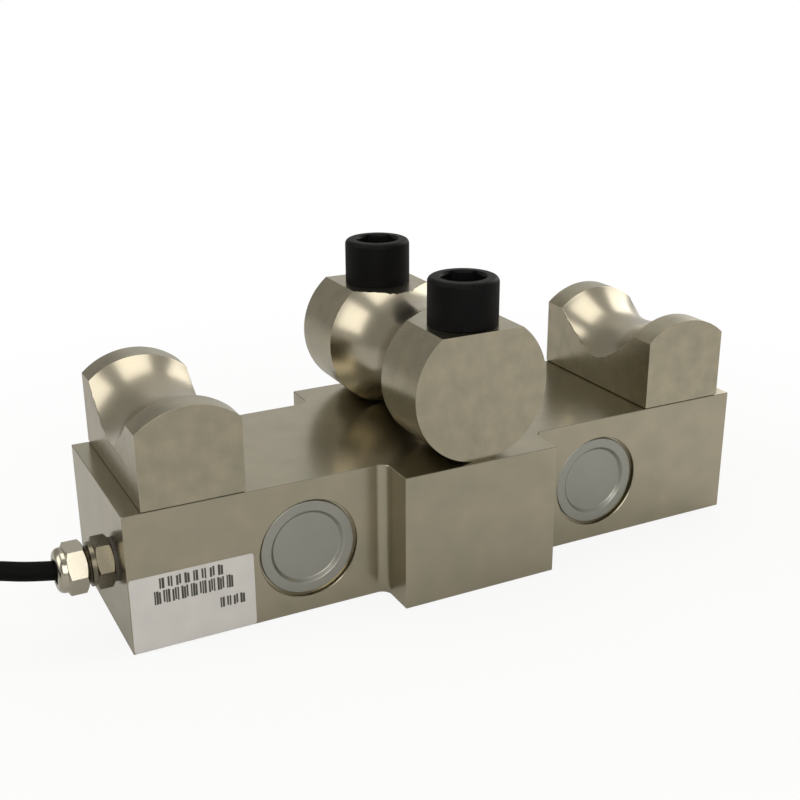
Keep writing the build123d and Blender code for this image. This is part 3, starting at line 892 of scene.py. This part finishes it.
@dataclass
class CableGland:
    """Nickel-plated gland: hexagon body, threaded neck and domed nut."""

    across_flats: float = 0.015
    thread_radius: float = 0.00625
    thread_pitch: float = 0.0007
    thread_depth: float = 0.0003
    hex_start: float = 0.001
    hex_length: float = 0.0055
    collar_radius: float = 0.0072
    collar_length: float = 0.0014
    neck_length: float = 0.0014
    nut_hex_length: float = 0.0062
    nut_dome_radius: float = 0.0073
    nut_dome_fillet: float = 0.0023
    nut_mouth_radius: float = 0.0042
    nut_mouth_fillet: float = 0.0004
    nut_mouth_depth: float = 0.0025
    nut_bore_depth: float = 0.0061
    thread_play: float = 0.0001
    seal_radius: float = 0.0046
    seal_depth: float = 0.008
    bore_radius: float = 0.0035
    chamfer_share: float = 0.6
    chamfer_inset: float = 0.0001
    corner_room: float = 0.0002
    hexagon_length: float = 0.08
    edge: float = 0.00012
    turn_steps: int = 96

    def turned_hexagon(self, name: str, path: list[tuple[float, float]], face: Vector) -> Object:
        """Turn a closed ring from a path and keep what lies inside a hexagon bar.

        Args:
            name: Name of the piece.
            path: Radius and distance out from the bar's end face, once round the ring.
            face: Where the gland's axis meets the end face.

        Returns:
            The turned and flatted piece.
        """
        points = [face + Vector((-out, 0, radius)) for radius, out in path]
        piece = draw_outline(name, points)
        spin_round(piece, face, (1, 0, 0), self.turn_steps)
        bpy.ops.mesh.primitive_cylinder_add(
            vertices=6,
            radius=self.across_flats / sqrt(3),
            depth=self.hexagon_length,
            location=face,
            rotation=(0, pi / 2, 0),
        )
        combine(piece, new_piece("hexagon_bar"), "INTERSECT")
        return piece

    def hexagon_corners(self, start: float, end: float) -> list[tuple[float, float]]:
        """Outline of a chamfered hexagon length, from its inner to its outer end."""
        flat = self.across_flats / 2
        corner = self.across_flats / sqrt(3) + self.corner_room
        slope = (corner - flat) * self.chamfer_share
        foot = flat - self.chamfer_inset
        return [(foot, start), (corner, start + slope), (corner, end - slope), (foot, end)]

    def body_path(self, inner: float, outer: float) -> list[tuple[float, float]]:
        """Ring outline of the body.

        Args:
            inner: Where the body starts inside the bar, as a distance out from its end face.
            outer: Where its cap thread ends.

        Returns:
            Radius and distance out, closed.
        """
        hex_end = self.hex_start + self.hex_length
        collar_end = hex_end + self.collar_length
        path = [(self.bore_radius, inner), (self.thread_radius, inner)]
        path += [(self.thread_radius, self.hex_start)]
        path += self.hexagon_corners(self.hex_start, hex_end)
        path += [(self.collar_radius, hex_end), (self.collar_radius, collar_end)]
        place = collar_end
        root = self.thread_radius - self.thread_depth
        while place < collar_end + self.neck_length:
            path += [(root, place), (self.thread_radius, place + self.thread_pitch / 2)]
            place += self.thread_pitch
        path += [(self.thread_radius, outer), (self.seal_radius, outer)]
        floor = outer - self.seal_depth
        path += [(self.seal_radius, floor), (self.bore_radius, floor), (self.bore_radius, inner)]
        return path

    def nut_path(self, start: float, end: float) -> list[tuple[float, float]]:
        """Ring outline of the domed nut.

        Args:
            start: Distance of its inner end out from the bar's end face.
            end: Distance of its mouth.

        Returns:
            Radius and distance out, closed.
        """
        hex_end = start + self.nut_hex_length
        bore = self.thread_radius + self.thread_play
        path = [(bore, start)] + self.hexagon_corners(start, hex_end)
        dome = rounded_path(
            [
                (self.nut_dome_radius, hex_end),
                (self.nut_dome_radius, end),
                (self.nut_mouth_radius, end),
                (self.nut_mouth_radius, end - self.nut_mouth_depth),
            ],
            [self.nut_dome_fillet, self.nut_mouth_fillet],
            steps=7,
        )
        ceiling = start + self.nut_bore_depth
        path += dome + [(self.nut_mouth_radius, ceiling), (bore, ceiling), (bore, start)]
        return path

    def build(self, shelf: FinishShelf) -> list[Object]:
        """Model the gland's body and nut.

        Args:
            shelf: Where the materials come from.

        Returns:
            The two pieces.
        """
        body_low, body_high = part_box("gland_body")
        nut_low, nut_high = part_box("gland_nut")
        end_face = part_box("sensor_body")[0].x
        middle = (nut_low + nut_high) / 2
        face = Vector((end_face, middle.y, middle.z))
        inner, outer = end_face - body_high.x, end_face - body_low.x
        body = self.turned_hexagon("gland_hexagon", self.body_path(inner, outer), face)
        nut_path = self.nut_path(end_face - nut_high.x, end_face - nut_low.x)
        nut = self.turned_hexagon("gland_cap", nut_path, face)
        pieces = []
        # The body's nickel is painted darker than the nut's: painted shade.
        for piece, node in ((body, "gland_body"), (nut, "gland_nut")):
            shelf.dress(piece, NODE_FINISHES[node])
            soften_edges(piece, self.edge)
            pieces.append(finish_piece(piece, "gland_nickel", node))
        return pieces


@dataclass(frozen=True)
class PrintRow:
    """One printed row: its edges on the label, its marks and the bars in each mark."""

    left: float
    right: float
    bottom: float
    top: float
    marks: int
    bars: int
    gap_share: float = 0.26
    thin_share: float = 0.60
    wider_share: float = 0.1
    cut_share: float = 0.09

    def bar_list(self) -> list[tuple[float, float, float, float]]:
        """Work out the row's bars, whose lengths follow a fixed rhythm.

        Returns:
            Middle along the row, width, lowest and highest place of each bar.
        """
        pitch = (self.right - self.left) / self.marks
        bar_pitch = pitch * (1 - self.gap_share) / self.bars
        found = []
        for mark in range(self.marks):
            for index in range(self.bars):
                beat = (5 * mark + 3 * index) % 4
                middle = self.left + mark * pitch + (index + 0.5) * bar_pitch
                width = bar_pitch * (self.thin_share + self.wider_share * beat)
                cut = self.cut_share * (self.top - self.bottom)
                bottom = self.bottom + cut * (beat == 1)
                top = self.top - cut * (beat == 2)
                found.append((middle, width, bottom, top))
        return found


@dataclass
class NameLabel:
    """Foil label with rounded corners and rows of plain printed bars."""

    corner_radius: float = 0.001
    ink_lift: float = 0.00003
    rows: tuple[PrintRow, ...] = (
        PrintRow(0.0094, 0.0315, 0.0210, 0.0247, 8, 2, 0.34),
        PrintRow(0.0075, 0.0343, 0.0157, 0.0203, 9, 3, 0.2),
        PrintRow(0.0288, 0.0380, 0.0092, 0.0128, 4, 2),
    )

    def build(self, shelf: FinishShelf) -> list[Object]:
        """Model the foil and its print.

        Args:
            shelf: Where the materials come from.

        Returns:
            The foil and the print.
        """
        low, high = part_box("name_label")
        centre = (low + high) / 2
        bpy.ops.mesh.primitive_cube_add(size=1.0, location=centre)
        foil = bpy.context.object
        foil.scale = high - low
        foil = new_piece("label_foil")
        with editing(foil):
            bpy.ops.mesh.select_mode(type="EDGE")
            mesh = bmesh.from_edit_mesh(foil.data)
            for edge in mesh.edges:
                first, second = (point.co for point in edge.verts)
                edge.select_set(abs(first.y - second.y) > MERGE_GAP)
            bmesh.update_edit_mesh(foil.data)
            bpy.ops.mesh.bevel(offset=self.corner_radius, segments=6, affect="EDGES")
        shelf.dress(foil, LABEL_FOIL)
        pieces = [finish_piece(foil, "label_foil", "name_label")]
        pieces.append(self.print_bars(low, shelf))
        return pieces

    def print_bars(self, corner: Vector, shelf: FinishShelf) -> Object:
        """Print the rows of upright bars.

        Args:
            corner: The label's lowest corner, on its outer face.
            shelf: Where the ink comes from.

        Returns:
            One object that holds every bar.
        """
        bars = []
        for row in self.rows:
            for middle, width, bottom, top in row.bar_list():
                place = Vector((middle, -self.ink_lift, (bottom + top) / 2))
                bpy.ops.object.select_all(action="DESELECT")
                bpy.ops.mesh.primitive_cube_add(size=1.0, location=corner + place)
                bpy.context.object.scale = (width, 2 * self.ink_lift, top - bottom)
                bars.append(new_piece("ink"))
        ink = join_pieces("label_print", bars)
        shelf.dress(ink, LABEL_INK)
        return finish_piece(ink, "label_foil")


def join_pieces(name: str, pieces: Sequence[Object]) -> Object:
    """Join pieces into the first of them and name what they make."""
    select_only(*pieces)
    bpy.ops.object.join()
    return new_piece(name)


def round_cord(name: str, points: Sequence[Vector], diameter: float, sides: int) -> Object:
    """Lay a round cord along a smooth line.

    Args:
        name: Name of the cord.
        points: Control points of its line.
        diameter: How thick it is.
        sides: Faces round it.

    Returns:
        A curve object of one open spline.
    """
    curve = bpy.data.curves.new(name, "CURVE")
    curve.dimensions = "3D"
    curve.bevel_depth = diameter / 2
    curve.bevel_resolution = sides // 2 - 2
    curve.resolution_u = CURVE_STEPS
    curve.use_fill_caps = True
    spline = curve.splines.new("NURBS")
    spline.points.add(len(points) - 1)
    for target, point in zip(spline.points, points):
        target.co = (*point, 1.0)
    spline.order_u = 3
    spline.use_endpoint_u = True
    cord = bpy.data.objects.new(name, curve)
    bpy.context.scene.collection.objects.link(cord)
    return cord


@dataclass
class CableRoute:
    """The free cable: a given run to the floor, a neat flat coil and a short tail."""

    diameter: float = 0.0062
    length: float = 3.0
    coil_centre: tuple[float, float] = (-0.276, -0.0234)
    radii: tuple[float, float, float] = (0.0348, 0.0411, 0.0474)
    layer_rise: float = 0.0063
    first_layer: float = 0.00335
    layers: int = 4
    steps_per_turn: int = 24
    tail_turn: float = 70.0
    climb_start: float = 4 / 6
    cross_start: float = 5 / 6
    shift_rate: float = 6.0
    points: tuple[tuple[float, float, float], ...] = (
        (-0.1350, -0.0165, 0.0265),
        (-0.1450, -0.0151, 0.0275),
        (-0.1557, -0.0108, 0.0289),
        (-0.1685, -0.0032, 0.0268),
        (-0.1828, 0.0058, 0.0198),
        (-0.1973, 0.0138, 0.0116),
        (-0.2126, 0.0204, 0.0056),
        (-0.2295, 0.0240, 0.00335),
        (-0.2460, 0.0240, 0.00335),
    )

    def turns(self) -> list[tuple[float, float, float]]:
        """Radius, next radius and height of each turn, layer by layer.

        Returns:
            One (radius, next radius, height) for each whole turn, from the first on the floor.
        """
        inward = list(reversed(self.radii))
        found = []
        for layer in range(self.layers):
            order = inward if layer % 2 == 0 else list(self.radii)
            height = self.first_layer + layer * self.layer_rise
            for radius, following in zip(order, order[1:] + order[-1:]):
                found.append((radius, following, height))
        return found[:-1]

    def coil_points(self) -> list[Vector]:
        """Points of the coil's turns and of the tail on top of it.

        Returns:
            Control points, wider than the turns by what the curve cuts inside them.
        """
        step = tau / self.steps_per_turn
        widen = 1.0 / cos(step / 2)
        centre = Vector((*self.coil_centre, 0.0))
        turns = self.turns()
        points = []
        for number, (radius, following, height) in enumerate(turns):
            last = number == len(turns) - 1
            climbs = following == radius
            for index in range(self.steps_per_turn):
                share = index / self.steps_per_turn
                cross = smooth_step((share - self.cross_start) * self.shift_rate)
                climb = smooth_step((share - self.climb_start) * self.shift_rate)
                reach = radius if climbs else radius + (following - radius) * cross
                rise = self.layer_rise * climb if climbs or last else 0.0
                reach = radius if last else reach
                angle = pi / 2 + share * tau
                points.append(self.at(centre, angle, reach * widen, height + rise))
        radius, _, height = turns[-1]
        tail_sweep = radians(self.tail_turn)
        tail_steps = round(tail_sweep / step)
        for index in range(tail_steps + 1):
            angle = pi / 2 + tail_sweep * index / tail_steps
            points.append(self.at(centre, angle, radius * widen, height + self.layer_rise))
        return points

    @staticmethod
    def at(centre: Vector, angle: float, radius: float, height: float) -> Vector:
        """Point at an angle and radius round a centre."""
        return centre + Vector((radius * cos(angle), radius * sin(angle), height))

    def tail(self) -> tuple[Vector, Vector, Vector]:
        """Where the cable ends, its direction there and the direction away from the coil."""
        angle = pi / 2 + radians(self.tail_turn)
        outward = Vector((cos(angle), sin(angle), 0))
        along = Vector((-sin(angle), cos(angle), 0))
        return self.coil_points()[-1], along, outward

    def build(self, shelf: FinishShelf, pieces: list[Object]) -> Object:
        """Args:
            shelf: Where the jacket's material comes from.
            pieces: The gland's pieces, which grip the cable, and its free cores; not used.

        Returns:
            The curve object.
        """
        points = [Vector(point) for point in self.points]
        points += self.coil_points()
        cable = round_cord("cable", points, self.diameter, 16)
        shelf.dress(cable, CABLE_JACKET)
        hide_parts("cable_tube", "cable_coil")
        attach(cable, BODY)
        return cable


@dataclass
class FreeCores:
    """Four coloured cores with tinned tips, fanned out where the cable's sheath stops."""

    diameter: float = 0.0016
    wire_diameter: float = 0.0010
    pitch: float = 0.0019
    straight: float = 0.0066
    fan_length: float = 0.0154
    spread: float = 0.0024
    stagger: float = 0.0010
    bare_length: float = 0.0045
    sides: int = 12
    colours: tuple[CoatedFinish, ...] = (RED_CORE, BLACK_CORE, GREEN_CORE, WHITE_CORE)

    def build(self, shelf: FinishShelf, route: CableRoute) -> Object:
        """Model the cores in the space of their CAD node.

        Args:
            shelf: Where the materials come from.
            route: The cable that they come out of.

        Returns:
            One object that holds the cores.
        """
        end, along, outward = route.tail()
        up = Vector((0, 0, 1))
        pieces = []
        places = [(across, rise) for across in (-1, 1) for rise in (-1, 1)]
        for (across, rise), finish in zip(places, self.colours):
            start = end + (outward * across + up * rise) * self.pitch / 2
            knee = start + along * self.straight
            fan = outward * (across * self.spread + rise * self.stagger)
            tip = knee + along * self.fan_length + fan
            strip = tip + (knee - tip).normalized() * self.bare_length
            inside = strip + (knee - tip).normalized() * self.wire_diameter
            pieces.append(self.wire([start, knee, strip], self.diameter, finish, shelf))
            pieces.append(self.wire([inside, tip], self.wire_diameter, TINNED_WIRE, shelf))
        cores = join_pieces("free_cores", pieces)
        return finish_piece(cores, "core_insulation", "cable_free_cores", smooth=50.0)

    def wire(
        self,
        points: list[Vector],
        diameter: float,
        finish: MetalFinish | CoatedFinish,
        shelf: FinishShelf,
    ) -> Object:
        """Make one dressed length of wire as a closed mesh.

        Args:
            points: Control points of its line.
            diameter: How thick it is.
            finish: What it is dressed in.
            shelf: Where the material comes from.

        Returns:
            The wire.
        """
        wire = round_cord("wire", points, diameter, self.sides)
        select_only(wire)
        bpy.ops.object.convert(target="MESH")
        wire = new_piece("wire")
        with editing(wire):
            bpy.ops.mesh.select_all(action="SELECT")
            bpy.ops.mesh.remove_doubles(threshold=MERGE_GAP)
            bpy.ops.mesh.normals_make_consistent(inside=False)
        shelf.dress(wire, finish)
        return wire


def smooth_step(share: float) -> float:
    """Ease from 0 to 1 as the share goes from 0 to 1."""
    share = min(1.0, max(0.0, share))
    return share * share * (3 - 2 * share)


@dataclass(frozen=True)
class SoftBox:
    """A soft lamp: its place, the size of its panel and its watts."""

    name: str
    place: tuple[float, float, float]
    size: tuple[float, float]
    power: float


@dataclass(frozen=True)
class RoomSide:
    """A side of the room: where it is, where its tone starts and is full, and the tone.

    The start and the end are cosines of the angle away from the aim.
    """

    aim: tuple[float, float, float]
    start: float
    end: float
    colour: Colour


@dataclass
class Studio:
    """White studio, with the camera where the photograph was taken from."""

    camera_place: tuple[float, float, float] = (-0.1915, -0.3587, 0.2044)
    yaw: float = 27.2
    pitch: float = 20.21
    roll: float = -0.27
    lens_mm: float = 53.23
    sensor_mm: float = 36.0
    clip_start: float = 0.01
    clip_end: float = 50.0
    floor_size: float = 12.0
    floor_height: float = -0.0002
    paper_colour: Colour = (0.8, 0.8, 0.8)
    paper_share: float = 0.6
    mirrored_colour: Colour = (0.49, 0.48, 0.455)
    mirrored_rise: tuple[float, ...] = (0.04, 0.17, 0.85, 1.65)
    shadow_fade: tuple[float, ...] = (0.16, 0.34, 0.88, 1.0)
    lamp_aim: tuple[float, float, float] = (0.0, 0.0, 0.05)
    lamp_colour: Colour = (1.0, 0.97, 0.92)
    lamps: tuple[SoftBox, ...] = (
        SoftBox("top_panel", (0.0, 0.10, 0.85), (0.55, 0.5), 1.7),
        SoftBox("left_panel", (-0.78, 0.10, 0.55), (0.6, 0.65), 2.3),
        SoftBox("right_panel", (0.76, 0.36, 0.45), (0.45, 0.55), 1.65),
        SoftBox("front_panel", (-0.36, -1.02, 0.56), (0.95, 0.8), 6.2),
    )
    room_colour: Colour = (0.50, 0.49, 0.465)
    room_sides: tuple[RoomSide, ...] = (
        RoomSide((0.42, 0.87, 0.27), 0.7, 0.95, (0.68, 0.67, 0.64)),
        RoomSide((-0.45, 0.85, 0.3), 0.75, 0.94, (0.36, 0.35, 0.32)),
        RoomSide((-0.42, -0.79, 0.45), 0.7, 0.95, (0.10, 0.095, 0.09)),
    )

    def camera(self) -> None:
        """Make the camera and set it as the scene's own."""
        data = bpy.data.cameras.new("camera")
        data.lens = self.lens_mm
        data.sensor_width = self.sensor_mm
        data.clip_start = self.clip_start
        data.clip_end = self.clip_end
        camera = bpy.data.objects.new("camera", data)
        bpy.context.scene.collection.objects.link(camera)
        turn = Matrix.Rotation(radians(-self.yaw), 4, "Z")
        tilt = Matrix.Rotation(radians(90 - self.pitch), 4, "X")
        spin = Matrix.Rotation(radians(self.roll), 4, "Z")
        camera.matrix_world = Matrix.Translation(self.camera_place) @ turn @ tilt @ spin
        bpy.context.scene.camera = camera

    def hang(self, box: SoftBox) -> None:
        """Hang a soft box so that it faces the object."""
        data = bpy.data.lights.new(box.name, "AREA")
        data.shape = "RECTANGLE"
        data.size, data.size_y = box.size
        data.energy = box.power
        data.color = self.lamp_colour
        lamp = bpy.data.objects.new(box.name, data)
        lamp.location = box.place
        direction = Vector(self.lamp_aim) - Vector(box.place)
        lamp.rotation_mode = "QUATERNION"
        lamp.rotation_quaternion = direction.to_track_quat("-Z", "Y")
        bpy.context.scene.collection.objects.link(lamp)

    def floor(self) -> None:
        """Lay the white floor, which keeps a faint shadow of the object."""
        bpy.ops.object.select_all(action="DESELECT")
        bpy.ops.mesh.primitive_plane_add(size=self.floor_size, location=(0, 0, self.floor_height))
        floor = bpy.context.object
        floor.name = "floor"
        sheet = NodeSheet(bpy.data.materials.new("floor_paper"))
        paper = sheet.add("ShaderNodeBsdfDiffuse", {"Color": opaque(self.paper_colour)})
        glow = sheet.add("ShaderNodeEmission", {"Color": opaque(WHITE), "Strength": 1.0})
        path = sheet.add("ShaderNodeLightPath")
        by_camera = sheet.math("MULTIPLY", path.outputs["Is Camera Ray"], self.whiteness(sheet))
        rays = (path.outputs["Is Glossy Ray"], path.outputs["Is Transmission Ray"])
        seen = sheet.mix(by_camera, paper, glow)
        mirrored = sheet.mix(sheet.math("MAXIMUM", *rays), seen, self.mirrored(sheet, paper))
        floor.data.materials.append(sheet.surface(mirrored))

    def whiteness(self, sheet: NodeSheet) -> bpy.types.NodeSocket:
        """Share of plain white in the floor: less under the object, where its shadow shows."""
        place = sheet.add("ShaderNodeTexCoord")
        reach = sheet.add("ShaderNodeVectorMath", operation="LENGTH")
        sheet.join(place.outputs["Object"], reach.inputs[0])
        return sheet.ranged(reach.outputs["Value"], *self.shadow_fade)

    def mirrored(self, sheet: NodeSheet, paper: bpy.types.Node) -> bpy.types.Node:
        """Floor as metal mirrors it, which is brighter past the bar's right end.

        Args:
            sheet: The floor's node tree.
            paper: The floor's plain shader.

        Returns:
            A shader node.
        """
        place = sheet.add("ShaderNodeTexCoord")
        axes = sheet.add("ShaderNodeSeparateXYZ")
        sheet.join(place.outputs["Object"], axes.inputs["Vector"])
        glow = sheet.add("ShaderNodeEmission", {"Color": opaque(self.mirrored_colour)})
        strength = sheet.ranged(axes.outputs["X"], *self.mirrored_rise)
        sheet.join(strength, glow.inputs["Strength"])
        node = sheet.add("ShaderNodeMixShader", {0: self.paper_share})
        sheet.join(glow.outputs[0], node.inputs[1])
        sheet.join(paper.outputs[0], node.inputs[2])
        return node

    def world(self) -> None:
        """White behind the object for the camera, and a soft grey room for its light."""
        sheet = NodeSheet(bpy.data.worlds.new("studio"))
        backdrop = sheet.add("ShaderNodeBackground", {"Color": opaque(WHITE)})
        room = sheet.add("ShaderNodeBackground")
        sheet.join(self.room_tone(sheet), room.inputs["Color"])
        path = sheet.add("ShaderNodeLightPath")
        seen = sheet.mix(path.outputs["Is Camera Ray"], room, backdrop)
        bpy.context.scene.world = sheet.surface(seen, "World")

    def room_tone(self, sheet: NodeSheet) -> bpy.types.NodeSocket:
        """Tone of the room: pale behind on the right, dim on the left and at the camera.

        Args:
            sheet: The world's node tree.

        Returns:
            A colour socket.
        """
        coordinates = sheet.add("ShaderNodeTexCoord")
        tone: bpy.types.NodeSocket | None = None
        for side in self.room_sides:
            facing = sheet.add("ShaderNodeVectorMath", operation="DOT_PRODUCT")
            facing.inputs[1].default_value = Vector(side.aim).normalized()
            sheet.join(coordinates.outputs["Generated"], facing.inputs[0])
            limits = {"From Min": side.start, "From Max": side.end}
            share = sheet.add("ShaderNodeMapRange", limits, interpolation_type="SMOOTHSTEP")
            sheet.join(facing.outputs["Value"], share.inputs["Value"])
            mix = sheet.blend(share.outputs[0], self.room_colour, side.colour)
            if tone is not None:
                sheet.join(tone, mix.inputs[6])
            tone = mix.outputs[2]
        return tone

    def build(self) -> None:
        """Put up the whole studio."""
        bpy.context.scene.view_settings.view_transform = "Standard"
        self.camera()
        self.floor()
        self.world()
        for box in self.lamps:
            self.hang(box)


def dress_nodes(shelf: FinishShelf) -> None:
    """Give every CAD node its finish.

    Args:
        shelf: Where the materials come from.
    """
    for name, finish in NODE_FINISHES.items():
        shelf.dress(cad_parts[name], finish)
        log.info("dressed %s in %s", name, finish.name)


def main() -> None:
    """Build the scene's pieces in order and report each."""
    logging.basicConfig(level=logging.INFO, format="%(name)s: %(message)s")
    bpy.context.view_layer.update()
    shelf = FinishShelf()
    Studio().build()
    dress_nodes(shelf)
    EndSaddles().build(shelf)
    CentreClamp().build(shelf)
    CapScrews(
        ("front_clamp_screw", "rear_clamp_screw"),
        size=0.016,
        head_diameter=0.024,
        across_flats=0.014,
        finish=BLACK_OXIDE,
        slot="black_oxide",
    ).build(shelf)
    CapScrews(
        ("left_saddle_screw", "right_saddle_screw"),
        size=0.012,
        head_diameter=0.018,
        across_flats=0.010,
        finish=ZINC,
        slot="zinc_screw",
        from_below=True,
    ).build(shelf)
    PocketCovers().build(shelf)
    NameLabel().build(shelf)
    gland = CableGland().build(shelf)
    route = CableRoute()
    cores = FreeCores().build(shelf, route)
    cable = route.build(shelf, [*gland, cores])
    log.info("built %s", cable.name)


if __name__ == "__main__":
    main()
